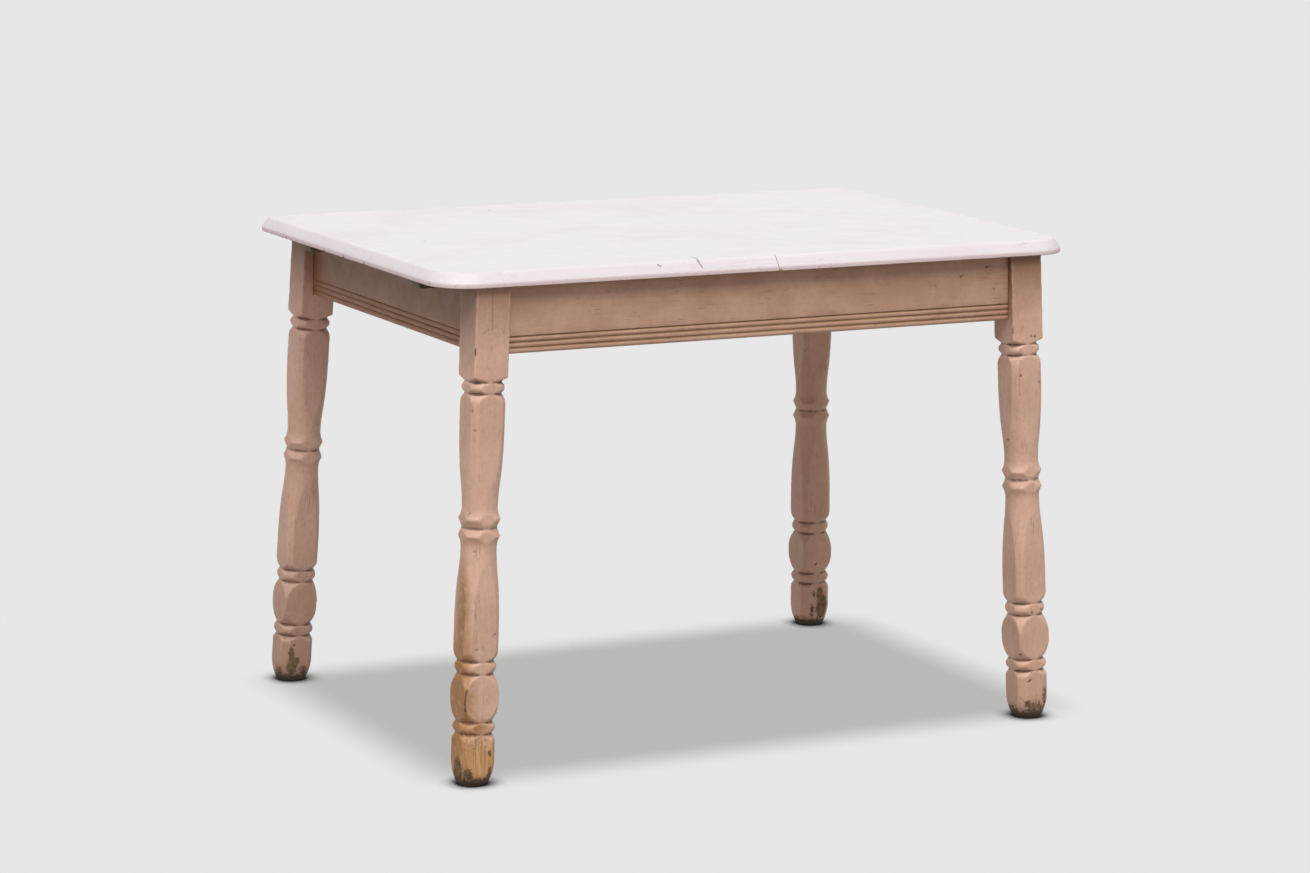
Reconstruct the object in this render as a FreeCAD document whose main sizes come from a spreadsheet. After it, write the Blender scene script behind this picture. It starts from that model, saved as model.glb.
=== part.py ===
import FreeCAD, Part

# Extending kitchen table: four splayed legs turned from square stock, reeded aprons, and a top in two
# halves that pull apart on wooden runners. Millimetres and degrees. The origin is on the floor under the
# middle of the top, +X along the length, -Y towards the front, +Z up.

import os
import re

import Sketcher

Vector = FreeCAD.Vector

# Driving sizes, each set by itself.
SIZES = {
    # The top: the seam lies its offset to the right of the middle
    "table_height": 770,
    "top_length": 1100,
    "top_width": 720,
    "top_thickness": 22.5,
    "front_corner_radius": 65,
    "rear_corner_radius": 32,
    "bevel_width": 12,
    "bevel_height": 15.5,
    "nose_radius": 2.5,
    "lower_edge_radius": 3.5,
    "seam_offset": 10.5,
    "seam_gap": 0.6,
    "top_clearance": 0.4,
    # The legs: an overhang is from a leg's axis at the top of the frame out to the edge of the top
    "leg_stock": 56,
    "end_overhang": 87,
    "side_overhang": 38.5,
    "leg_splay": 2.3,
    "block_length": 142.5,
    "shoulder_height": 9,
    "foot_height": 78.3,
    "toe_height": 38,
    "foot_shoulder": 9,
    "ankle_bead_height": 17.5,
    "barrel_height": 73,
    "knee_bead_height": 19,
    "vase_shoulder": 15,
    "vase_straight": 31,
    "ring_height": 29,
    "crest_rise": 13,
    "collar_height": 17,
    "groove_width": 2.4,
    "belly_share": 0.72,
    # Radii of the turning
    "toe_radius": 22.5,
    "foot_radius": 33,
    "ankle_bead_radius": 32.4,
    "barrel_radius": 39.3,
    "knee_bead_radius": 31.6,
    "vase_radius": 34.4,
    "neck_radius": 26.9,
    "ring_radius": 31.8,
    "collar_radius": 32.5,
    "groove_radius": 27.2,
    "ring_groove_radius": 26.6,
    # The aprons: an offset is from the leg axis at the top of the frame out to the apron's face
    "apron_height": 102.6,
    "apron_thickness": 22,
    "long_apron_offset": 18.5,
    "end_apron_offset": 12.8,
    "reed_height": 8.5,
    "reed_depth": 2.6,
    "tenon_thickness": 9,
    "tenon_past_axis": 5,
    "tenon_bottom_margin": 30,
    "tenon_top_margin": 36,
    "tenon_gap": 0.4,
    # The slides: the pair's inset is from a long apron's inner face to the middle of a pair of runners
    "runner_width": 24,
    "runner_height": 20,
    "runner_gap": 5,
    "runner_pair_inset": 110.5,
    "runner_end_inset": 32,
    "runner_end_chamfer": 4,
    "tail_drop": 7,
    "tail_margin": 22,
    "step_gap": 2,
    "travel": 250,
    "slide_clearance": 0.4,
    "rail_thickness": 30,
    "rail_height": 70,
    "rail_housing": 8,
    "keeper_overhang": 35,
    # Fasteners
    "fit_clearance": 0.1,
    "peg_diameter": 12,
    "peg_drop": 14,
    "peg_chamfer": 1.5,
    "stop_gap": 0.3,
    "dowel_diameter": 10,
    "dowel_reach": 24,
    "dowel_chamfer": 2,
    "dowel_spacing": 250,
    "screw_diameter": 4.5,
    "screw_head_diameter": 9,
    "screw_head_height": 2.8,
    "screw_rim": 0.35,
    "screw_tip": 4,
    "screw_tip_diameter": 1.1,
    "screw_recess": 0.6,
    "screw_bite": 12,
    "runner_screw_margin": 48,
    "keeper_screw_margin": 14,
    "keeper_screw_bite": 22,
}
REEDS = 3
RUNNER_SCREWS = 4
KEEPER_SCREWS = 5
DOWELS = 3

# Sizes that follow from the driving ones.
FOLLOWING = {
    "underside": "table_height - top_thickness",
    "frame_top": "underside - top_clearance",
    "nose_level": "table_height - bevel_height",
    "edge_height": "top_thickness - bevel_height",
    "leg_x": "top_length / 2 - end_overhang",
    "leg_y": "top_width / 2 - side_overhang",
    "foot_x": "leg_x + frame_top * tan(leg_splay)",
    "foot_y": "leg_y + frame_top * tan(leg_splay)",
    "leg_lean": "atan(sqrt(2) * tan(leg_splay))",
    "axis_length": "frame_top / cos(leg_lean)",
    "stock_spare": "leg_stock / 4",
    "block_reach": "leg_stock * 0.75",
    # Levels along the leg's axis
    "barrel_base": "foot_height + ankle_bead_height",
    "barrel_top": "barrel_base + barrel_height",
    "vase_base": "barrel_top + knee_bead_height",
    "shoulder_level": "axis_length - block_length",
    "collar_base": "shoulder_level - collar_height",
    "vase_height": "(collar_base - vase_base) / 2 - ring_height",
    "ring_base": "vase_base + vase_height",
    "ring_middle": "ring_base + ring_height",
    "ring_top": "ring_middle + ring_height",
    # Aprons
    "apron_base": "frame_top - apron_height",
    "long_face_y": "leg_y + long_apron_offset",
    "end_face_x": "leg_x + end_apron_offset",
    "long_tenon_y": "long_face_y - (apron_thickness + tenon_thickness) / 2",
    "end_tenon_x": "end_face_x - (apron_thickness + tenon_thickness) / 2",
    "tenon_base": "apron_base + tenon_bottom_margin",
    "tenon_height": "apron_height - tenon_bottom_margin - tenon_top_margin",
    # Slides
    "runner_base": "underside - runner_height",
    "runner_end": "top_length / 2 - runner_end_inset",
    "runner_pair_y": "long_face_y - apron_thickness - runner_pair_inset",
    "runner_near_y": "runner_pair_y - (runner_width + runner_gap) / 2",
    "runner_far_y": "runner_pair_y + (runner_width + runner_gap) / 2",
    "tail_top": "underside - tail_drop",
    "tail_start": "rail_thickness / 2 + step_gap",
    "peg_x": "rail_thickness / 2 + travel + stop_gap + peg_diameter / 2",
    "tail_end": "peg_x + peg_diameter / 2 + tail_margin",
    "notch_base": "runner_base - slide_clearance",
    "notch_half": "runner_width / 2 + slide_clearance",
    "rail_top": "tail_top + slide_clearance",
    "rail_reach": "long_face_y - apron_thickness + rail_housing",
    "keeper_thickness": "frame_top - rail_top",
    "keeper_reach": "runner_far_y + runner_width / 2 + keeper_overhang",
    # Fasteners
    "runner_screw_length": "runner_height - screw_recess + screw_bite",
    "runner_screw_span": "runner_end - tail_start - 2 * runner_screw_margin",
    "keeper_screw_length": "keeper_thickness - screw_recess + keeper_screw_bite",
    "keeper_screw_span": "2 * (keeper_reach - keeper_screw_margin)",
    "dowel_span": f"dowel_spacing * {DOWELS - 1}",
    "peg_span": "runner_near_y + runner_far_y",
}

doc = FreeCAD.newDocument("extending_table")
sheet = doc.addObject("Spreadsheet::Sheet", "Sizes")
cells = dict(SIZES)
cells.update((name, "=" + formula) for name, formula in FOLLOWING.items())
for row, (name, value) in enumerate(cells.items(), start=1):
    sheet.set(f"A{row}", name)
    sheet.set(f"B{row}", str(value))
    sheet.setAlias(f"B{row}", name)
doc.recompute()

sub_parts = []


def linked(formula):
    """The formula as an expression that reads the sheet's cells."""
    return re.sub(r"\b([a-z]\w*)\b(?!\()", r"Sizes.\1", formula)


def number(formula):
    """What the formula comes to with the sizes as they are."""
    value = sheet.evalExpression(formula)
    return float(getattr(value, "Value", value))


def bind(thing, **formulas):
    """Tie properties to formulas; a double underscore stands for the dot of a nested one."""
    for name, formula in formulas.items():
        thing.setExpression(name.replace("__", "."), linked(formula))


def place(thing, x="0", y="0", z="0", axis=None, turn="0"):
    """Put a thing at a point given by formulas, turned about an axis through that point."""
    if axis:
        thing.Placement.Rotation = FreeCAD.Rotation(Vector(*axis), number(turn))
        bind(thing, Placement__Rotation__Angle=turn)
    bind(thing, Placement__Base__x=x, Placement__Base__y=y, Placement__Base__z=z)
    return thing


def name_part(thing, label):
    """Label a finished piece and put it on the list of sub-parts."""
    thing.Label = label
    sub_parts.append(thing)
    return thing


def origin_feature(body, role):
    """A plane or axis of the body's own origin."""
    return next(item for item in body.Origin.OriginFeatures if item.Role == role)


def new_body(name):
    return doc.addObject("PartDesign::Body", name)


def new_sketch(body, name, plane):
    sketch = body.newObject("Sketcher::SketchObject", name)
    sketch.AttachmentSupport = (origin_feature(body, plane), [""])
    sketch.MapMode = "FlatFace"
    return sketch


def fix_point(sketch, name, geometry, end, x, y):
    """Hold one point of a sketch at coordinates given by formulas."""
    for kind, formula in (("DistanceX", x), ("DistanceY", y)):
        datum = Sketcher.Constraint(kind, -1, 1, geometry, end, number(formula))
        index = sketch.addConstraint(datum)
        sketch.renameConstraint(index, f"{name}_{kind[-1].lower()}")
        bind(sketch, **{f"Constraints__{name}_{kind[-1].lower()}": formula})


def outline(sketch, corners):
    """Close an outline through corners given as formulas.

    A corner (x, y) is reached by a line, and a corner (x, y, via_x, via_y) by an arc through the via point.
    """
    points = [Vector(number(corner[0]), number(corner[1])) for corner in corners]
    ends = []
    for index, start in enumerate(points):
        following = (index + 1) % len(points)
        finish = points[following]
        if len(corners[following]) == 4:
            via_x, via_y = corners[following][2:]
            via = Vector(number(via_x), number(via_y))
            geometry = sketch.addGeometry(Part.Arc(start, via, finish))
            marker = sketch.addGeometry(Part.Point(via), True)
            fix_point(sketch, f"via_{following}", marker, 1, via_x, via_y)
            sketch.addConstraint(Sketcher.Constraint("PointOnObject", marker, 1, geometry))
        else:
            geometry = sketch.addGeometry(Part.LineSegment(start, finish))
        forward = sketch.getPoint(geometry, 1).distanceToPoint(start) < 1e-6
        ends.append((geometry, (1, 2) if forward else (2, 1)))
    for index, (geometry, (start, _)) in enumerate(ends):
        before, (_, finish) = ends[index - 1]
        sketch.addConstraint(Sketcher.Constraint("Coincident", before, finish, geometry, start))
        fix_point(sketch, f"corner_{index}", geometry, start, *corners[index][:2])
    return sketch


def rectangle(sketch, left, bottom, right, top):
    return outline(sketch, [(left, bottom), (right, bottom), (right, top), (left, top)])


def pad(body, sketch, length, both_ways=False):
    feature = body.newObject("PartDesign::Pad", sketch.Name + "_pad")
    feature.Profile = sketch
    if both_ways:
        feature.SideType = "Symmetric"
    bind(feature, Length=length)
    return feature


def box(name, length, width, height, x, y, z):
    """A plain block from its lowest corner."""
    block = doc.addObject("Part::Box", name)
    bind(block, Length=length, Width=width, Height=height)
    return place(block, x, y, z)


def cut(base, tools, name):
    """The base with every tool taken away."""
    for index, tool in enumerate(tools):
        result = doc.addObject("Part::Cut", f"{name}_cut_{index}")
        result.Base = base
        result.Tool = tool
        base = result
    return base


def mirrored(source, normal, name):
    """The other hand of a piece, across the table's middle plane with that normal."""
    copy = doc.addObject("Part::Mirroring", name)
    copy.Source = source
    copy.Normal = Vector(*normal)
    return copy


def turned_row(name, profile, count=1, span="0"):
    """Pieces turned about Z from a half profile, in a row along X that starts at the origin."""
    body = new_body(name)
    sketch = outline(new_sketch(body, name + "_profile", "XZ_Plane"), profile)
    turning = body.newObject("PartDesign::Revolution", name + "_turning")
    turning.Profile = sketch
    turning.ReferenceAxis = (sketch, ["V_Axis"])
    if count > 1:
        row = body.newObject("PartDesign::LinearPattern", name + "_row")
        row.Originals = [turning]
        row.Direction = (origin_feature(body, "X_Axis"), [""])
        row.Occurrences = count
        bind(row, Length=span)
        body.Tip = row
    return body


# Legs

def vase(base, upward):
    """Profile of one vase, from the groove at its shoulder along to its neck.

    base is the groove's level, and upward says whether the neck is above or below it.
    """
    sign = "+" if upward else "-"

    def level(distance):
        return f"{base} {sign} ({distance})"

    swell = "(vase_radius - groove_radius)"
    waist = "(vase_radius - neck_radius)"
    sweep = "(vase_height - vase_shoulder - vase_straight)"
    sweep_start = "vase_shoulder + vase_straight"
    # An arc that ends upright lies a quarter of its sideways run inside its end at half its height. The
    # belly and the neck are two such arcs, which meet on the chord between their ends.
    belly_radius = f"vase_radius - belly_share * {waist}"
    shoulder = ("vase_radius", level("vase_shoulder"),
                f"vase_radius - {swell} / 4", level("(vase_shoulder + groove_width / 2) / 2"))
    straight = ("vase_radius", level(sweep_start))
    belly_arc = (belly_radius, level(f"{sweep_start} + belly_share * {sweep}"),
                 f"vase_radius - belly_share * {waist} / 4",
                 level(f"{sweep_start} + belly_share * {sweep} / 2"))
    neck_arc = ("neck_radius", level("vase_height"),
                f"neck_radius + (1 - belly_share) * {waist} / 4",
                level(f"{sweep_start} + (1 + belly_share) * {sweep} / 2"))
    return ("groove_radius", level("groove_width / 2")), shoulder, straight, belly_arc, neck_arc


def reversed_run(points):
    """The same run of lines and arcs, drawn from its other end."""
    run = []
    carried = ()
    for point in reversed(points):
        run.append(point[:2] + carried)
        carried = point[2:]
    return run


def bead(low, high, radius):
    """An arc from just above one groove to just below the next, after the lower groove's floor."""
    start = f"{low} + groove_width / 2"
    finish = f"{high} - groove_width / 2"
    return [("groove_radius", start), ("groove_radius", finish, radius, f"({low} + {high}) / 2")]


def leg_turning():
    """One leg, upright on its axis: square stock with the waste turned away below the block."""
    body = new_body("leg_turning")
    stock = new_sketch(body, "leg_stock", "XY_Plane")
    stock.AttachmentOffset.Base.z = -number("stock_spare")
    bind(stock, AttachmentOffset__Base__z="-stock_spare")
    rectangle(stock, "-leg_stock / 2", "-leg_stock / 2", "leg_stock / 2", "leg_stock / 2")
    pad(body, stock, "axis_length + 2 * stock_spare")

    lower_vase = vase("vase_base", True)
    upper_vase = reversed_run(vase("collar_base", False))
    profile = [("leg_stock", "-2 * stock_spare"), ("toe_radius", "-2 * stock_spare"), ("toe_radius", "0")]
    profile += [
        ("foot_radius", "toe_height", "foot_radius - (foot_radius - toe_radius) / 4", "toe_height / 2"),
        ("foot_radius", "foot_height - foot_shoulder"),
        ("groove_radius", "foot_height - groove_width / 2"),
    ]
    profile += bead("foot_height", "barrel_base", "ankle_bead_radius")
    profile += bead("barrel_base", "barrel_top", "barrel_radius")
    profile += bead("barrel_top", "vase_base", "knee_bead_radius")
    profile += lower_vase
    # Each ring flares from the neck to a crest, and slopes from there to the groove between the two.
    flare_radius = "neck_radius + (ring_radius - neck_radius) / 4"
    profile += [
        ("ring_radius", "ring_middle - crest_rise",
         flare_radius, "(ring_base + ring_middle - crest_rise) / 2"),
        ("ring_groove_radius", "ring_middle - groove_width / 2"),
        ("ring_groove_radius", "ring_middle + groove_width / 2"),
        ("ring_radius", "ring_middle + crest_rise"),
        ("neck_radius", "ring_top", flare_radius, "(ring_top + ring_middle + crest_rise) / 2"),
    ]
    profile += upper_vase[1:]
    profile += bead("collar_base", "shoulder_level", "collar_radius")
    # The block's lower corners are turned to a cone that runs out past the stock.
    profile += [
        ("groove_radius", "shoulder_level + groove_width / 2"),
        ("block_reach", "shoulder_level + shoulder_height"),
        ("leg_stock", "shoulder_level + shoulder_height"),
    ]
    waste = outline(new_sketch(body, "leg_waste", "XZ_Plane"), profile)
    turning = body.newObject("PartDesign::Groove", "leg_turning_cut")
    turning.Profile = waste
    turning.ReferenceAxis = (waste, ["V_Axis"])
    return place(body, "-foot_x", "-foot_y", axis=(-1, 1, 0), turn="leg_lean")


def trimmed_legs():
    """The four legs cut level at the floor and under the top, with no mortises yet."""
    room = box("leg_room", "2 * top_length", "2 * top_length", "frame_top", "-top_length", "-top_length", "0")
    front_left = doc.addObject("Part::Common", "leg_trimmed_front_left")
    front_left.Base = leg_turning()
    front_left.Tool = room
    front_right = mirrored(front_left, (1, 0, 0), "leg_trimmed_front_right")
    return {
        ("front", "left"): front_left,
        ("front", "right"): front_right,
        ("rear", "left"): mirrored(front_left, (0, 1, 0), "leg_trimmed_rear_left"),
        ("rear", "right"): mirrored(front_right, (0, 1, 0), "leg_trimmed_rear_right"),
    }


# Aprons

def apron_section(sketch):
    """Upright section of an apron, its face on the sketch's vertical axis and reeds at the lower edge."""
    corners = [("apron_thickness", "0"), ("reed_depth", "0")]
    for reed in range(REEDS):
        corners.append(("reed_depth", f"{reed + 1} * reed_height", "0", f"{reed + 0.5} * reed_height"))
    corners += [("0", f"{REEDS} * reed_height + reed_depth / 2"), ("0", "apron_height")]
    corners.append(("apron_thickness", "apron_height"))
    return outline(sketch, corners)


def apron_board(name, plane, length):
    """A plain reeded board, its face on the origin plane and its length both ways from the origin."""
    body = new_body(name)
    section = apron_section(new_sketch(body, name + "_section", plane))
    pad(body, section, length, both_ways=True)
    return body


def with_tenons(board, tenons, name):
    joined = doc.addObject("Part::MultiFuse", name)
    joined.Shapes = [board] + tenons
    return joined


def long_apron(legs, rail):
    """The front apron and its two tenons: shouldered against the legs and housed for the rail."""
    board = place(apron_board("long_board", "YZ_Plane", "2 * leg_x"), y="-long_face_y", z="apron_base")
    shouldered = cut(board, [legs["front", "left"], legs["front", "right"]], "long_board")
    tenon_length = "leg_stock + tenon_past_axis"
    tenons = {}
    for side, x in (("left", "-leg_x - tenon_past_axis"), ("right", "leg_x - leg_stock")):
        tenons[side] = box(f"long_tenon_{side}", tenon_length, "tenon_thickness", "tenon_height",
                           x, "-long_tenon_y - tenon_thickness", "tenon_base")
    joined = with_tenons(shouldered, list(tenons.values()), "long_apron_tenoned")
    return cut(joined, [rail], "apron_front"), tenons


def end_apron(legs):
    """The left end apron and its two tenons, which stop just short of the long aprons' tenons."""
    board = place(apron_board("end_board", "XZ_Plane", "2 * leg_y"), "-end_face_x", z="apron_base")
    shouldered = cut(board, [legs["front", "left"], legs["rear", "left"]], "end_board")
    tenon_width = "leg_stock"
    tenon_tip = "long_tenon_y - tenon_gap"
    tenons = {}
    for side, y in (("front", f"-({tenon_tip})"), ("rear", f"{tenon_tip} - {tenon_width}")):
        tenons[side] = box(f"end_tenon_{side}", "tenon_thickness", tenon_width, "tenon_height",
                           "-end_tenon_x - tenon_thickness", y, "tenon_base")
    return with_tenons(shouldered, list(tenons.values()), "end_apron_tenoned"), tenons


def runner_notch(name, face, y):
    """The block taken out of an end apron's upper edge where a runner passes."""
    return box(name, "2 * apron_thickness", "2 * notch_half", "underside - notch_base",
               f"{face} - apron_thickness", f"{y} - notch_half", "notch_base")


def frame():
    """Legs, aprons, centre rail and keeper: everything that stays on the floor."""
    legs = trimmed_legs()
    rail = centre_rail()
    front, long_tenons = long_apron(legs, rail)
    left, end_tenons = end_apron(legs)
    left_notched = cut(left, [runner_notch("notch_left_front", "-end_face_x", "-runner_near_y"),
                              runner_notch("notch_left_rear", "-end_face_x", "runner_far_y")], "apron_left")
    right = mirrored(left, (1, 0, 0), "end_apron_mirrored")
    right_notched = cut(right, [runner_notch("notch_right_front", "end_face_x", "-runner_far_y"),
                                runner_notch("notch_right_rear", "end_face_x", "runner_near_y")],
                        "apron_right")
    rear = mirrored(front, (0, 1, 0), "long_apron_mirrored")

    rear_tenons = {side: mirrored(tenon, (0, 1, 0), f"rear_tenon_{side}")
                   for side, tenon in long_tenons.items()}
    right_tenons = {side: mirrored(tenon, (1, 0, 0), f"right_tenon_{side}")
                    for side, tenon in end_tenons.items()}
    for (depth, side), leg in legs.items():
        long_tenon = (long_tenons if depth == "front" else rear_tenons)[side]
        end_tenon = (end_tenons if side == "left" else right_tenons)[depth]
        mortised = cut(leg, [long_tenon, end_tenon], f"leg_{depth}_{side}")
        name_part(mortised, f"leg_{depth}_{side}")
    name_part(front, "apron_front")
    name_part(rear, "apron_rear")
    name_part(left_notched, "apron_left_end")
    name_part(right_notched, "apron_right_end")


def centre_rail():
    """Cross rail under the seam: each of its two notches takes a pair of runners under the keeper strip."""
    body = new_body("rail_board")
    elevation = new_sketch(body, "rail_elevation", "YZ_Plane")
    corners = [("-rail_reach", "rail_top - rail_height"), ("rail_reach", "rail_top - rail_height"),
               ("rail_reach", "rail_top")]
    for outer, inner in (("runner_far_y", "runner_near_y"), ("-runner_near_y", "-runner_far_y")):
        corners += [(f"{outer} + notch_half", "rail_top"), (f"{outer} + notch_half", "notch_base"),
                    (f"{inner} - notch_half", "notch_base"), (f"{inner} - notch_half", "rail_top")]
    corners.append(("-rail_reach", "rail_top"))
    pad(body, outline(elevation, corners), "rail_thickness", both_ways=True)

    keeper = box("keeper_strip", "rail_thickness", "2 * keeper_reach", "keeper_thickness",
                 "-rail_thickness / 2", "-keeper_reach", "rail_top")
    screws = screw_row("keeper_screws", "keeper_screw_length", KEEPER_SCREWS, "keeper_screw_span", "0")
    holes = screw_row("keeper_holes", "keeper_screw_length", KEEPER_SCREWS, "keeper_screw_span",
                      "fit_clearance")
    for row in (screws, holes):
        # Heads up: half a turn about the line between X and Y brings the row onto Y and the points down.
        place(row, y="-keeper_screw_span / 2", z="frame_top - screw_recess", axis=(1, 1, 0), turn="180")
    drilled_rail = name_part(cut(body, [holes], "centre_rail"), "centre_rail")
    name_part(cut(keeper, [holes], "rail_keeper"), "rail_keeper")
    name_part(screws, "keeper_screws")
    return drilled_rail


def screw_row(name, length, count, span, clearance):
    """Countersunk screws, points up and heads at the origin's level, or with a clearance their holes."""
    head = f"screw_head_diameter / 2 + {clearance}"
    shank = f"screw_diameter / 2 + {clearance}"
    mouth = "0" if clearance == "0" else "-2 * screw_recess"
    profile = [("0", mouth), (head, mouth), (head, "screw_rim"), (shank, "screw_head_height"),
               (shank, f"{length} - screw_tip"), ("screw_tip_diameter / 2", f"{length} + {clearance}"),
               ("0", f"{length} + {clearance}")]
    return turned_row(name, profile, count, span)


# Sliding halves

def top_blank():
    """The whole top: bevelled above the nose of its edge, upright and rounded under below it."""
    body = new_body("top_blank")
    sketch = new_sketch(body, "top_outline", "XY_Plane")
    half_length = "top_length / 2"
    half_width = "top_width / 2"

    def corner(x_sign, y_sign, radius, starts_on_end):
        """Both ends of a rounded corner, the second reached by an arc from the first."""
        on_end = (f"{x_sign} * {half_length}", f"{y_sign} * ({half_width} - {radius})")
        on_side = (f"{x_sign} * ({half_length} - {radius})", f"{y_sign} * {half_width}")
        # The arc's middle lies this far inside the square corner, along each side.
        inside = f"{radius} * (1 - sqrt(0.5))"
        middle = (f"{x_sign} * ({half_length} - {inside})", f"{y_sign} * ({half_width} - {inside})")
        first, second = (on_end, on_side) if starts_on_end else (on_side, on_end)
        return [first, second + middle]

    outline(sketch, corner(-1, -1, "front_corner_radius", True) + corner(1, -1, "front_corner_radius", False)
            + corner(1, 1, "rear_corner_radius", True) + corner(-1, 1, "rear_corner_radius", False))
    upper = pad(body, sketch, "bevel_height")
    bind(upper, TaperAngle="-atan(bevel_width / bevel_height)")
    lower = body.newObject("PartDesign::Pad", "edge_pad")
    lower.Profile = sketch
    lower.Reversed = True
    bind(lower, Length="edge_height")

    rounded = lower
    for name, level in (("nose", "0"), ("lower_edge", "-edge_height")):
        doc.recompute()
        edges = [f"Edge{index}" for index, edge in enumerate(rounded.Shape.Edges, start=1)
                 if max(abs(vertex.Z - number(level)) for vertex in edge.Vertexes) < 1e-6]
        fillet = body.newObject("PartDesign::Fillet", name)
        fillet.Base = (rounded, edges)
        bind(fillet, Radius=f"{name}_radius")
        rounded = fillet
    body.Tip = rounded
    return place(body, z="nose_level")


def runner(name, y, turn):
    """A runner of the left half, or turned half round one of the right half, with its tail past the seam."""
    body = new_body(name)
    corners = [
        ("-runner_end", "underside"),
        ("-runner_end", "runner_base + runner_end_chamfer"),
        ("-runner_end + runner_end_chamfer", "runner_base"),
        ("tail_end", "runner_base"),
        ("tail_end", "tail_top"),
        ("-tail_start", "tail_top"),
        ("-tail_start", "underside"),
    ]
    elevation = outline(new_sketch(body, name + "_elevation", "XZ_Plane"), corners)
    pad(body, elevation, "runner_width", both_ways=True)
    return place(body, y=y, axis=(0, 0, 1), turn=turn)


def peg_row(name, clearance, front_y, turn, sign):
    """The two stop pegs of a half, through the tails of its runners, or with a clearance their holes."""
    radius = f"peg_diameter / 2 + {clearance}"
    low = "runner_base - peg_drop"
    profile = [("0", low), (f"{radius} - peg_chamfer", low), (radius, f"{low} + peg_chamfer"),
               (radius, f"tail_top + {clearance}"), ("0", f"tail_top + {clearance}")]
    row = turned_row(name, profile, 2, "peg_span")
    return place(row, f"{sign} * peg_x", front_y, axis=(0, 0, 1), turn=turn)


def dowel_row(name, clearance, tip):
    """The alignment dowels across the seam, or with a clearance the holes that take them."""
    radius = f"dowel_diameter / 2 + {clearance}"
    end = f"dowel_reach + {tip}"
    profile = [("0", f"-({end})"), (f"{radius} - dowel_chamfer", f"-({end})"),
               (radius, f"-({end}) + dowel_chamfer"), (radius, f"{end} - dowel_chamfer"),
               (f"{radius} - dowel_chamfer", end), ("0", end)]
    row = turned_row(name, profile, DOWELS, "dowel_span")
    # A third of a turn about the body diagonal lays the dowels along X and the row along Y.
    return place(row, "seam_offset", "-dowel_span / 2", "underside + top_thickness / 2", axis=(1, 1, 1),
                 turn="120")


def half(side, blank, dowel_holes):
    """One half of the top with its runners, screws and stop pegs."""
    left = side == "left"
    turn = "0" if left else "180"
    outward = "-1" if left else "1"
    inward = "1" if left else "-1"
    seam = doc.addObject("Part::Common", f"top_{side}_blank")
    seam.Base = blank
    seam.Tool = box(f"top_{side}_room", "top_length", "2 * top_width", "2 * table_height",
                    "seam_offset - seam_gap / 2 - top_length" if left else "seam_offset + seam_gap / 2",
                    "-top_width", "0")
    # The two halves are one another turned half round, so their runners pass side by side.
    front_y, rear_y = ("-runner_near_y", "runner_far_y") if left else ("-runner_far_y", "runner_near_y")
    pegs = peg_row(f"stop_pegs_{side}", "0", front_y, "90", inward)
    peg_holes = peg_row(f"stop_peg_holes_{side}", "fit_clearance", front_y, "90", inward)
    holes = []
    for depth, y in (("front", front_y), ("rear", rear_y)):
        board = runner(f"runner_{side}_{depth}_board", y, turn)
        rows = []
        for kind, clearance in (("screws", "0"), ("holes", "fit_clearance")):
            row = screw_row(f"runner_{kind}_{side}_{depth}", "runner_screw_length", RUNNER_SCREWS,
                            "runner_screw_span", clearance)
            place(row, f"{outward} * (runner_end - runner_screw_margin)", y, "runner_base + screw_recess",
                  axis=(0, 0, 1), turn=turn)
            rows.append(row)
        screws, screw_holes = rows
        holes.append(screw_holes)
        name_part(cut(board, [screw_holes, peg_holes], f"runner_{side}_{depth}"), f"runner_{side}_{depth}")
        name_part(screws, f"runner_screws_{side}_{depth}")
    name_part(cut(seam, holes + [dowel_holes], f"top_{side}"), f"top_{side}")
    name_part(pegs, f"stop_pegs_{side}")


frame()
whole_top = top_blank()
half("left", whole_top, dowel_row("dowel_seats", "fit_clearance", "fit_clearance"))
half("right", whole_top, dowel_row("dowel_sockets", "slide_clearance", "2 * slide_clearance"))
name_part(dowel_row("dowels", "0", "0"), "alignment_dowels")

doc.recompute()
for thing in doc.Objects:
    if {"Invalid", "Error"} & set(thing.State):
        raise RuntimeError(f"{thing.Name} failed: {thing.State}")
for thing in sub_parts:
    if thing.Shape.isNull() or not thing.Shape.isValid():
        raise RuntimeError(f"{thing.Label} has no valid shape")

os.makedirs("parts", exist_ok=True)
for thing in sub_parts:
    thing.Shape.exportStep(f"parts/{thing.Label}.step")
    solids = len(thing.Shape.Solids)
    print(f"{thing.Label}: {solids} solid(s), {thing.Shape.Volume / 1000:.1f} cm3")
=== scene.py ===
import math

import bmesh
import bpy
import numpy as np
from mathutils import Matrix, Vector, noise


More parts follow.
